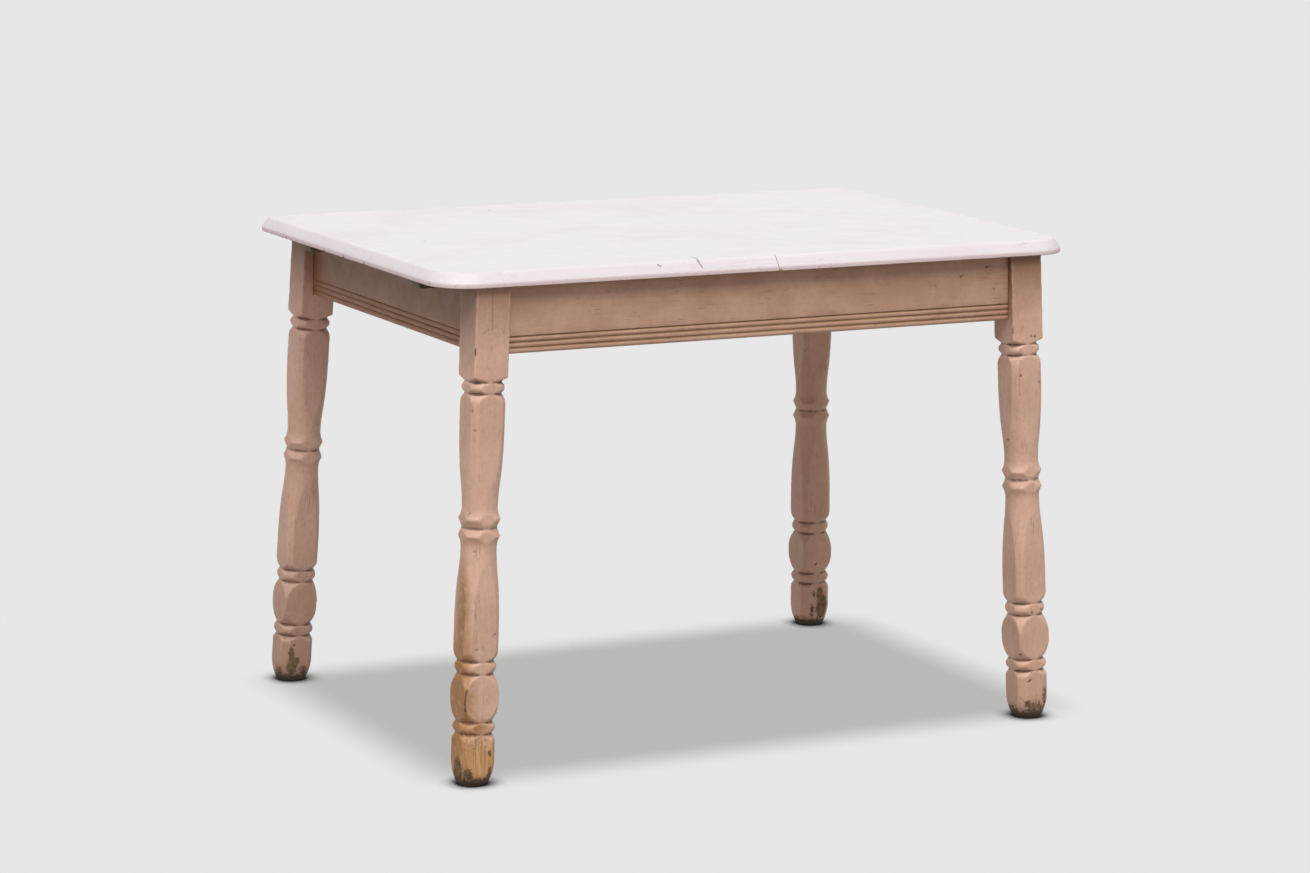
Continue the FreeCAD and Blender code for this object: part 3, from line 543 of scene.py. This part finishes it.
def reach_of(points, patches):
    """How strongly each point lies in the patches: fully well inside, and by half at the edge."""
    strongest = np.zeros(len(points))
    for centre, half_sizes, strength in patches:
        away = np.linalg.norm((points - np.array(centre) * MM) / (np.array(half_sizes) * MM), axis=1)
        strongest = np.maximum(strongest, strength * np.clip(1.5 - away, 0, 1))
    return strongest


def near_lines(points, lines, reach, sharpness=1.0):
    """1 on the lines of points, falling to 0 at their reach; a sharper mark stays full for longer."""
    nearest = np.full(len(points), np.inf)
    for line in lines:
        corners = np.array(line) * MM
        for start, end in zip(corners[:-1], corners[1:]):
            run = end - start
            share = np.clip((points - start) @ run / (run @ run), 0, 1)
            nearest = np.minimum(nearest, np.linalg.norm(points - start - share[:, None] * run, axis=1))
    return np.clip(sharpness * (1 - nearest / reach), 0, 1)


def near_points(points, centres, reach):
    """1 close to the given points, falling to 0 at their reach."""
    lines = [(centre, np.array(centre) + (0, 0, 0.01)) for centre in centres]
    return near_lines(points, lines, reach, sharpness=1.7)


def clouds(points, size, seed):
    """Smooth noise from about -1 to 1 with lumps of this size in millimetres."""
    offset = Vector((seed * 17.3, seed * 5.1, seed * 9.7))
    return np.array([noise.noise(Vector(point) / (size * MM) + offset) for point in points])


def waves(points, size, seed, depth):
    """How deep each point lies in an uneven surface."""
    return (clouds(points, size, seed) + 1) * depth


def ragged(points):
    """The points shifted by small noise, so that a mark measured from them has an uneven outline."""
    shifts = np.array([noise.noise_vector(Vector(point) / OUTLINE_LUMPS) for point in points])
    return points + shifts * OUTLINE_SHIFT


def soot_on(points, height, strength):
    """How much painted shade each point has: fully under the top, and none this far below it."""
    frame_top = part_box("apron_front")[1][2]
    return strength * np.clip((points[:, 2] - frame_top + height) / height, 0, 1)


def read_points(mesh):
    """The mesh's points and normals as arrays."""
    points = np.empty(len(mesh.vertices) * 3)
    normals = np.empty(len(mesh.vertices) * 3)
    mesh.vertices.foreach_get("co", points)
    mesh.vertex_normals.foreach_get("vector", normals)
    return points.reshape(-1, 3), normals.reshape(-1, 3)


def move_points(mesh, points):
    """Put the mesh's points in these places."""
    mesh.vertices.foreach_set("co", points.ravel())
    mesh.update()


def read_edges(mesh):
    """The pairs of points that the mesh's edges join."""
    pairs = np.empty(len(mesh.edges) * 2, dtype=int)
    mesh.edges.foreach_get("vertices", pairs)
    return pairs.reshape(-1, 2)


def smoothed(points, edges, rounds):
    """Each point moved halfway to the mean of its neighbours, so many times."""
    links = np.zeros(len(points))
    np.add.at(links, edges.ravel(), 1)
    soft = points.copy()
    for _ in range(rounds):
        total = np.zeros_like(soft)
        np.add.at(total, edges[:, 0], soft[edges[:, 1]])
        np.add.at(total, edges[:, 1], soft[edges[:, 0]])
        soft = (soft + total / links[:, None]) / 2
    return soft


def write_marks(mesh, **marks):
    """Keep each mark as a value on the mesh's points, for the finish to read."""
    for name, values in marks.items():
        attribute = mesh.attributes.new(name, "FLOAT", "POINT")
        attribute.data.foreach_set("value", np.asarray(values, dtype=np.float32))


# Making pieces

def merged_copy(node):
    """A bmesh of a solid's own shape with its loose triangles joined."""
    bm = bmesh.new()
    bm.from_mesh(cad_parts[node].data)
    bmesh.ops.remove_doubles(bm, verts=bm.verts, dist=0.01 * MM)
    return bm


def mesh_of(bm, name):
    """The bmesh as a mesh; the bmesh is used up."""
    mesh = bpy.data.meshes.new(name)
    bm.to_mesh(mesh)
    bm.free()
    return mesh


def shaded_mesh(bm, name, crisp):
    """The bmesh as a mesh that is shaded smooth, apart from edges sharper than so many degrees."""
    for face in bm.faces:
        face.smooth = True
    mesh = mesh_of(bm, name)
    mesh.set_sharp_from_angle(angle=math.radians(crisp))
    return mesh


def in_scene(name, data):
    """An object with this data, at the origin of the scene."""
    thing = bpy.data.objects.new(name, data)
    bpy.context.scene.collection.objects.link(thing)
    return thing


def show(mesh, name, body, materials):
    """Make the mesh a piece that stands for the solid of the same name and moves with its body."""
    for material in materials:
        mesh.materials.append(material)
    piece = in_scene(f"{name}_dressed", mesh)
    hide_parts(name)
    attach(piece, body)


def ease(bm, edges, rounding, segments, kept_apart=False):
    """Round these edges. Those that are kept apart get a smaller rounding where two would overlap."""
    bmesh.ops.bevel(bm, geom=edges, offset=rounding, offset_type="OFFSET", segments=segments, profile=0.5,
                    affect="EDGES", clamp_overlap=kept_apart, material=-1)


def slice_up(bm, axis, pitch):
    """Cut the mesh across one axis into slices of about a pitch."""
    values = [vert.co[axis] for vert in bm.verts]
    low, high = min(values), max(values)
    slices = max(1, round((high - low) / pitch))
    facing = Vector((0, 0, 0))
    facing[axis] = 1
    for number in range(1, slices):
        level = facing * (low + (high - low) * number / slices)
        bmesh.ops.bisect_plane(bm, geom=bm.verts[:] + bm.edges[:] + bm.faces[:], dist=0.01 * MM,
                               plane_co=level, plane_no=facing)


def refine_near(bm, lines):
    """Split the faces close to these lines of points in plan, so that a narrow mark has points to sit on."""
    for line in lines:
        corners = np.array(line)[:, :2] * MM
        near_low = corners.min(axis=0) - NEAR_A_MARK
        near_high = corners.max(axis=0) + NEAR_A_MARK
        close = set()
        for face in bm.faces:
            centre = np.array(face.calc_center_median())[:2]
            if face.normal.z > -0.9 and np.all(centre > near_low) and np.all(centre < near_high):
                close.update(face.edges)
        bmesh.ops.subdivide_edges(bm, edges=list(close), cuts=CUTS_NEAR_A_MARK, use_grid_fill=True)


# Legs

def net_of(bm, pitch):
    """The same shape on an even net of small faces, with sharp corners rounded by about a face."""
    mesh = mesh_of(bm, "stock")
    stock = in_scene("stock", mesh)
    remesh = stock.modifiers.new("net", "REMESH")
    remesh.mode = "VOXEL"
    remesh.voxel_size = pitch
    remesh.use_smooth_shade = True
    net = bpy.data.meshes.new_from_object(stock.evaluated_get(bpy.context.evaluated_depsgraph_get()))
    bpy.data.objects.remove(stock)
    bpy.data.meshes.remove(mesh)
    return net


def joint_lines(points, normals):
    """1 where a leg's inner faces meet the face of an apron, falling to 0 beside the joint."""
    closeness = np.zeros(len(points))
    for axis, node in ((WIDTH, "apron_front"), (LENGTH, "apron_left_end")):
        face_level = abs(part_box(node)[0][axis])
        across = LENGTH if axis == WIDTH else WIDTH
        inner_face = normals[:, across] * np.sign(points[:, across]) < -0.7
        beside = np.clip(1 - np.abs(np.abs(points[:, axis]) - face_level) / JOINT_REACH, 0, 1)
        closeness = np.maximum(closeness, np.where(inner_face, beside, 0))
    return closeness * (points[:, 2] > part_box("apron_front")[0][2])


def leg_marks(node, points):
    """How strongly each point of a leg lies in a pit, a crack or a scratch."""
    uneven = ragged(points)
    pits = near_points(uneven, PITS.get(node, []), PIT_REACH)
    faint = near_points(uneven, FAINT_PITS.get(node, []), PIT_REACH) * FAINT_PIT_STRENGTH
    cracks = near_lines(uneven, CRACKS.get(node, []), LEG_CRACK_REACH, sharpness=1.8)
    scratches = near_lines(points, SCRATCHES.get(node, []), SCRATCH_REACH) * SCRATCH_STRENGTH
    return np.max([pits, faint, cracks, scratches], axis=0)


def turned_leg(node, number, paint):
    """A leg with the softened edges, shallow dents and pits that use has given it."""
    low, high = (np.array(corner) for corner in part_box(node))
    mesh = net_of(merged_copy(node), LEG_NET)
    edges = read_edges(mesh)
    move_points(mesh, smoothed(read_points(mesh)[0], edges, 1))
    points, normals = read_points(mesh)
    relief = ((points - smoothed(points, edges, RELIEF_ROUNDS)) * normals).sum(axis=1) / MM
    size, seed, depth = LEG_KNOCKS
    sunk = np.clip(relief, 0, 1) * np.clip(clouds(points, size, seed + number), 0, 1) * depth
    size, seed, depth = LEG_WAVES
    sunk += waves(points, size, seed + number, depth)
    pits = leg_marks(node, points)
    sunk += pits * LEG_MARK_DEPTH
    points = np.clip(points - normals * sunk[:, None], low, high)
    move_points(mesh, points)

    # Painted shade under the top, reaching further down on faces that look towards an end.
    end_facing = np.abs(normals[:, 0]) > np.abs(normals[:, 1])
    soot = np.where(end_facing, soot_on(points, *SHADE_UNDER_TOP_ON_ENDS), soot_on(points, *SHADE_UNDER_TOP_ON_LEGS))
    # Painted shade on the lower legs, darker towards the floor.
    low_shade = LOW_LEG_SHADE[node] * np.clip(1 - points[:, 2] / LOW_LEG_SHADE_HEIGHT, 0, 1)
    # Darker towards the floor: partly floor dirt, partly painted shade.
    sole_dirt_and_shade = np.clip(1 - points[:, 2] / SOLE_HEIGHT, 0, 1)
    jointed = RIDGE_LIMIT + (JOINT_RELIEF - RIDGE_LIMIT) * joint_lines(points, normals)
    write_marks(mesh, relief=np.minimum(relief, jointed),
                soot=np.clip(soot * MORE_SHADE_UNDER_TOP.get(node, 1.0) + low_shade, 0, 1),
                bare=reach_of(points, BARE_PATCHES.get(node, [])),
                rubbed=reach_of(points, RUBBED_PATCHES.get(node, [])),
                grime=np.maximum(reach_of(points, GRIME_PATCHES.get(node, [])), sole_dirt_and_shade), pit=pits)
    show(mesh, node, "frame", [paint])


# Boards

def soft_board(node, rounding):
    """A bmesh of a sawn piece with its outer edges eased."""
    bm = merged_copy(node)
    bmesh.ops.dissolve_limit(bm, angle_limit=math.radians(0.5), verts=bm.verts, edges=bm.edges)
    sharp = [edge for edge in bm.edges
             if len(edge.link_faces) == 2 and edge.calc_face_angle_signed() > math.radians(40)]
    ease(bm, sharp, rounding, 2, kept_apart=True)
    return bm


def apron(node, paint, wood):
    """A reeded board: painted outside and below, bare inside, with dirt between the reeds."""
    low, high = (Vector(corner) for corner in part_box(node))
    inward = INWARD[node]
    along = LENGTH if inward.x == 0 else WIDTH
    stains = PITS.get(node, [])
    bm = soft_board(node, APRON_ARRIS)
    slice_up(bm, along, APRON_NET)
    slice_up(bm, HEIGHT, APRON_NET)
    refine_near(bm, [(place, place) for place in stains])
    face_level = max(-inward.dot(low), -inward.dot(high))
    tenon_level = face_level - APRON_TENON_DEPTH
    for face in bm.faces:
        inner = inward.dot(face.normal) > 0.5 or face.normal.z > 0.5
        tenon = -inward.dot(face.calc_center_median()) < tenon_level and abs(face.normal.z) < 0.5
        face.material_index = 1 if inner or tenon else 0
    mesh = shaded_mesh(bm, node, CRISP_ON_BOARDS)

    points, _ = read_points(mesh)
    level = (points[:, 2] - low.z) / REED_HEIGHT
    groove = np.round(level)
    in_groove = (np.abs(level - groove) * REED_HEIGHT < REED_GROOVE) & (groove >= 1) & (groove <= REEDS)
    # Painted shade under the top, growing towards the right end of the long aprons.
    if along == LENGTH:
        rightward = (points[:, 0] - low.x) / (high.x - low.x)
        soot = soot_on(points, *SHADE_UNDER_TOP_ON_SIDES) + RIGHT_END_SHADE * rightward
    else:
        soot = soot_on(points, *SHADE_UNDER_TOP_ON_ENDS)
    relief = np.where(in_groove, REED_RELIEF, 0)
    none = np.zeros(len(points))
    write_marks(mesh, relief=relief, soot=soot, bare=none, rubbed=none, grime=none,
                pit=near_points(ragged(points), stains, STAIN_REACH))
    show(mesh, node, "frame", [paint, wood])


def plain_board(node, body, wood):
    """A bare sawn piece with eased edges."""
    mesh = shaded_mesh(soft_board(node, BOARD_ARRIS), node, CRISP_ON_BOARDS)
    show(mesh, node, body, [wood])


# The top

def whole_top():
    """The closed top before it is cut: rounded corners, a broad bevel, and eased edges."""
    low = Vector(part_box("top_left")[0])
    high = Vector(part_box("top_right")[1])
    bm = bmesh.new()
    bmesh.ops.create_cube(bm, size=1)
    bmesh.ops.scale(bm, vec=high - low, verts=bm.verts)
    bmesh.ops.translate(bm, vec=(low + high) / 2, verts=bm.verts)
    for towards, radius, segments in ((-1, FRONT_CORNER_RADIUS, 16), (1, REAR_CORNER_RADIUS, 10)):
        corners = [edge for edge in bm.edges if edge.verts[0].co.xy == edge.verts[1].co.xy
                   and edge.verts[0].co.y * towards > 0]
        ease(bm, corners, radius, segments)
    upper = max(bm.faces, key=lambda face: face.calc_center_median().z)
    bmesh.ops.inset_individual(bm, faces=[upper], thickness=BEVEL_WIDTH, use_even_offset=True)
    kept_up = set(upper.verts)
    outline = [vert for vert in bm.verts if vert.co.z > high.z - MM and vert not in kept_up]
    bmesh.ops.translate(bm, vec=(0, 0, -BEVEL_HEIGHT), verts=outline)
    nose = high.z - BEVEL_HEIGHT
    for level, rounding in ((high.z, RIDGE_ROUND), (nose, NOSE_ROUND), (low.z, LOWER_ROUND)):
        loop = [edge for edge in bm.edges if all(abs(vert.co.z - level) < 0.01 * MM for vert in edge.verts)]
        ease(bm, loop, rounding, 4)
    return bm


def drill_sockets(bm, cut):
    """The same half with the round sockets in its seam face that take the other half's dowels."""
    low, high = (Vector(corner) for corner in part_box("top_right"))
    lengthwise = Matrix.Rotation(math.radians(90), 4, "Y")
    drills = bmesh.new()
    for number in range(DOWELS):
        at = Vector((cut, (number - (DOWELS - 1) / 2) * DOWEL_SPACING, (low.z + high.z) / 2))
        bmesh.ops.create_cone(drills, cap_ends=True, segments=32, radius1=SOCKET_RADIUS,
                              radius2=SOCKET_RADIUS, depth=2 * SOCKET_DEPTH,
                              matrix=Matrix.Translation(at) @ lengthwise)
    blank = in_scene("half", mesh_of(bm, "half"))
    tool = in_scene("drills", mesh_of(drills, "drills"))
    drilling = blank.modifiers.new("sockets", "BOOLEAN")
    drilling.operation = "DIFFERENCE"
    drilling.solver = "EXACT"
    drilling.object = tool
    drilled = bmesh.new()
    drilled.from_object(blank, bpy.context.evaluated_depsgraph_get())
    for thing in (blank, tool):
        mesh = thing.data
        bpy.data.objects.remove(thing)
        bpy.data.meshes.remove(mesh)
    return drilled


def sawn_half(side, direction, cut):
    """The half of the whole top on this side of the cut, with eased seam edges and small faces."""
    bm = whole_top()
    bmesh.ops.bisect_plane(bm, geom=bm.verts[:] + bm.edges[:] + bm.faces[:], dist=0.001 * MM,
                           plane_co=(cut, 0, 0), plane_no=(-direction, 0, 0), clear_outer=True)
    bmesh.ops.holes_fill(bm, edges=[edge for edge in bm.edges if edge.is_boundary])
    bmesh.ops.recalc_face_normals(bm, faces=bm.faces)
    if side == "right":
        bm = drill_sockets(bm, cut)
    arris = [edge for edge in bm.edges if all(abs(vert.co.x - cut) < 0.001 * MM for vert in edge.verts)
             and edge.calc_face_angle() > math.radians(30)]
    ease(bm, arris, SEAM_ARRIS, 1)
    slice_up(bm, LENGTH, TOP_NET)
    slice_up(bm, WIDTH, TOP_NET)
    return bm


def worked_by_hand(points, low, high, direction):
    """How far each point lies under the true surface: a little on the flat, and more at the worked edge."""
    from_end = np.abs(points[:, 0] - (low[0] if direction < 0 else high[0]))
    from_side = np.minimum(points[:, 1] - low[1], high[1] - points[:, 1])
    at_edge = np.clip((WORKED_EDGE - np.minimum(from_end, from_side)) / (WORKED_EDGE / 2), 0, 1)
    wavy = sum(waves(points, *each) for each in EDGE_WAVES)
    painted = points[:, 2] > low[2] + 0.1 * MM
    return np.where(painted, waves(points, *TOP_WAVES) + at_edge * wavy, 0)


def top_half(side, direction, paint, wood):
    """Half of the top: painted outside, bare below and in the seam, with an uneven hand-worked edge."""
    node = f"top_{side}"
    low = np.array(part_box("top_left")[0])
    high = np.array(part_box("top_right")[1])
    cut = SEAM + direction * SEAM_GAP / 2
    cracks = CRACKS.get(node, [])
    chips = CHIPS.get(node, [])
    specks_on_top = PITS.get(node, [])
    bm = sawn_half(side, direction, cut)
    refine_near(bm, cracks + [(place, place) for place in chips + specks_on_top])
    for face in bm.faces:
        centre = face.calc_center_median()
        near_seam = (centre.x - cut) * direction < SOCKET_DEPTH + MM
        seam_face = abs(face.normal.y) < 0.1 and abs(face.normal.x) > 0.9
        within = (low[2] + MM < centre.z < high[2] - BEVEL_HEIGHT / 2
                  and low[1] + BEVEL_WIDTH < centre.y < high[1] - BEVEL_WIDTH)
        face.material_index = 1 if face.normal.z < -0.9 or (near_seam and (seam_face or within)) else 0
    mesh = shaded_mesh(bm, node, CRISP_ON_TOP)

    points, normals = read_points(mesh)
    # The marks lie on the even surface, so they are measured before it is made uneven.
    uneven = ragged(points)
    cracked = near_lines(uneven, cracks, TOP_CRACK_REACH, sharpness=1.4)
    chipped = near_points(uneven, chips, CHIP_REACH)
    sunk = worked_by_hand(points, low, high, direction)
    sunk += np.maximum(cracked, CHIP_DEPTH_SHARE * chipped) * TOP_MARK_DEPTH
    move_points(mesh, np.clip(points - normals * sunk[:, None], low, high))
    write_marks(mesh, pit=np.maximum(cracked, near_points(uneven, specks_on_top, SPECK_REACH)), bare=chipped)
    show(mesh, node, f"{side}_half", [paint, wood])


# Studio

def lamp_group(name, thing, state):
    """A collection that tells a lamp to light only this thing, or to leave it out."""
    group = bpy.data.collections.new(name)
    group.objects.link(thing)
    group.collection_objects[0].light_linking.link_state = state
    return group


def floor_finish():
    """Matt pale floor that keeps part of its brightness in shadow, with a painted contact shadow close around
    the feet.
    """
    material, tree = new_material("pale_studio_floor")
    # A painted contact shadow: the floor darkens where the feet hide its open sky close by.
    open_sky = add(tree, "AmbientOcclusion", {"Distance": CONTACT_REACH}, samples=16)
    contact_shadow = add(tree, "MapRange", {"Value": open_sky.outputs["AO"], "From Min": 0.3, "From Max": 0.97},
                  interpolation_type="SMOOTHSTEP")
    falling_light = FROM_ABOVE + sum(share for _, share, _, _, lit in LAMPS if lit == "floor")
    lit_share = (1 - KEPT_IN_SHADOW) / falling_light
    full = [channel * lit_share for channel in linear(BACKDROP)[:3]] + [1.0]
    lit_colour = add(tree, "Mix", {0: contact_shadow, 6: [0, 0, 0, 1], 7: full}, data_type="RGBA")
    grey = add(tree, "BsdfDiffuse", {"Color": lit_colour})
    kept = add(tree, "Math", {0: contact_shadow, 1: KEPT_IN_SHADOW}, operation="MULTIPLY")
    glow = add(tree, "Emission", {"Color": linear(BACKDROP), "Strength": kept})
    both = add(tree, "AddShader", {0: grey, 1: glow})
    add(tree, "OutputMaterial", {"Surface": both})
    return material


def studio_floor():
    """A floor that runs out of sight."""
    bm = bmesh.new()
    bmesh.ops.create_grid(bm, x_segments=1, y_segments=1, size=60)
    mesh = mesh_of(bm, "floor")
    mesh.materials.append(floor_finish())
    floor = in_scene("floor", mesh)
    # The light from below comes from the surroundings, and not again from the floor.
    floor.visible_diffuse = False
    return floor


def studio_lamps(floor):
    """Broad soft lamps for the table, and one for the floor."""
    lit_by = {"table": lamp_group("lit_without_the_floor", floor, "EXCLUDE"),
              "floor": lamp_group("lit_on_the_floor", floor, "INCLUDE")}
    for name, share, angle, direction, lit in LAMPS:
        lamp = bpy.data.lights.new(name, "SUN")
        lamp.energy = share * math.pi
        lamp.angle = math.radians(angle)
        light = in_scene(name, lamp)
        light.rotation_mode = "QUATERNION"
        light.rotation_quaternion = direction.to_track_quat("Z", "Y")
        light.light_linking.receiver_collection = lit_by[lit]


def surroundings():
    """Even light from above and below; the backdrop's colour shows behind the table and in its gloss."""
    world = bpy.data.worlds.new("studio")
    bpy.context.scene.world = world
    world.use_nodes = True
    tree = world.node_tree
    tree.nodes.clear()
    rays = add(tree, "LightPath")
    shiny = add(tree, "Math", {0: rays.outputs["Is Glossy Ray"], 1: rays.outputs["Is Transmission Ray"]},
                operation="ADD")
    seen = add(tree, "Math", {0: rays.outputs["Is Camera Ray"], 1: shiny}, operation="ADD",
               use_clamp=True)
    upward = add(tree, "SeparateXYZ", {0: add(tree, "TexCoord").outputs["Generated"]}).outputs[2]
    above = add(tree, "MapRange", {"Value": upward, "From Min": -0.1, "From Max": 0.1})
    level = add(tree, "Mix", {0: above, 6: FROM_BELOW, 7: [FROM_ABOVE] * 3 + [1.0]}, data_type="RGBA")
    ambient = add(tree, "Background", {"Color": level})
    pale = add(tree, "Background", {"Color": linear(BACKDROP)})
    mixed = add(tree, "MixShader", {0: seen, 1: ambient, 2: pale})
    add(tree, "OutputWorld", {"Surface": mixed})


def photo_camera():
    """The camera where the photograph was taken from."""
    camera = bpy.data.cameras.new("photo_camera")
    camera.sensor_width = SENSOR_WIDTH
    camera.lens = FOCAL_LENGTH_PIXELS * SENSOR_WIDTH / PHOTO_WIDTH
    camera.clip_end = 200
    view = in_scene("photo_camera", camera)
    view.matrix_world = (Matrix.Translation(CAMERA_PLACE) @ Matrix.Rotation(-CAMERA_YAW, 4, "Z")
                         @ Matrix.Rotation(math.radians(90) - CAMERA_PITCH, 4, "X")
                         @ Matrix.Rotation(-CAMERA_ROLL, 4, "Z"))
    bpy.context.scene.camera = view


bpy.context.scene.view_settings.view_transform = "Standard"
studio_lamps(studio_floor())
surroundings()
photo_camera()

leg_paint = frame_paint("worn_tan_leg_paint", "#e3b9a4", "#d7ad96", HEIGHT)
# The rear right leg's paint is a darker copy: painted shade of the table over it.
shaded_paint = frame_paint("leg_paint_with_table_shade", "#dcb098", "#d0a48b", HEIGHT)
for number, node in enumerate(LEGS):
    turned_leg(node, number, shaded_paint if node == "leg_rear_right" else leg_paint)

# The end aprons' paint is darker and browner than the long aprons': painted shade under the ends of the top.
for along, tone, shade, nodes in ((LENGTH, "#d3aa91", "#c3997f", ("apron_front", "apron_rear")),
                                  (WIDTH, "#b57f60", "#a67153", ("apron_left_end", "apron_right_end"))):
    paint = frame_paint(f"worn_tan_apron_paint_{along}", tone, shade, along)
    inside = bare_wood(f"bare_apron_pine_{along}", along, "#a98560", "#7d5d3f", "#8c6b4a")
    for node in nodes:
        apron(node, paint, inside)

white = top_paint()
underside = bare_wood("bare_top_pine", LENGTH, "#b08c66", "#836243", "#94714e")
for side, direction in SIDES:
    top_half(side, direction, white, underside)

runner_wood = bare_wood("bare_runner_wood", LENGTH, "#6f6250", "#3d3428", "#8d867a")
for side, _ in SIDES:
    for depth in DEPTHS:
        plain_board(f"runner_{side}_{depth}", f"{side}_half", runner_wood)
rail_wood = bare_wood("bare_rail_wood", WIDTH, "#a07c58", "#70523a", "#86664a")
for node in ("centre_rail", "rail_keeper"):
    plain_board(node, "frame", rail_wood)

# Screws, pegs and dowels keep the shape of their solids.
small_parts = {
    "screws": screw_steel(),
    "stop_pegs": bare_wood("bare_peg_wood", HEIGHT, "#a88660", "#7c5d3f", "#94734f"),
    "alignment_dowels": bare_wood("bare_dowel_wood", LENGTH, "#b8966c", "#8e6b47", "#a07d58"),
}
for name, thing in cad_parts.items():
    for kind, finish in small_parts.items():
        if kind in name:
            thing.data.materials.clear()
            thing.data.materials.append(finish)
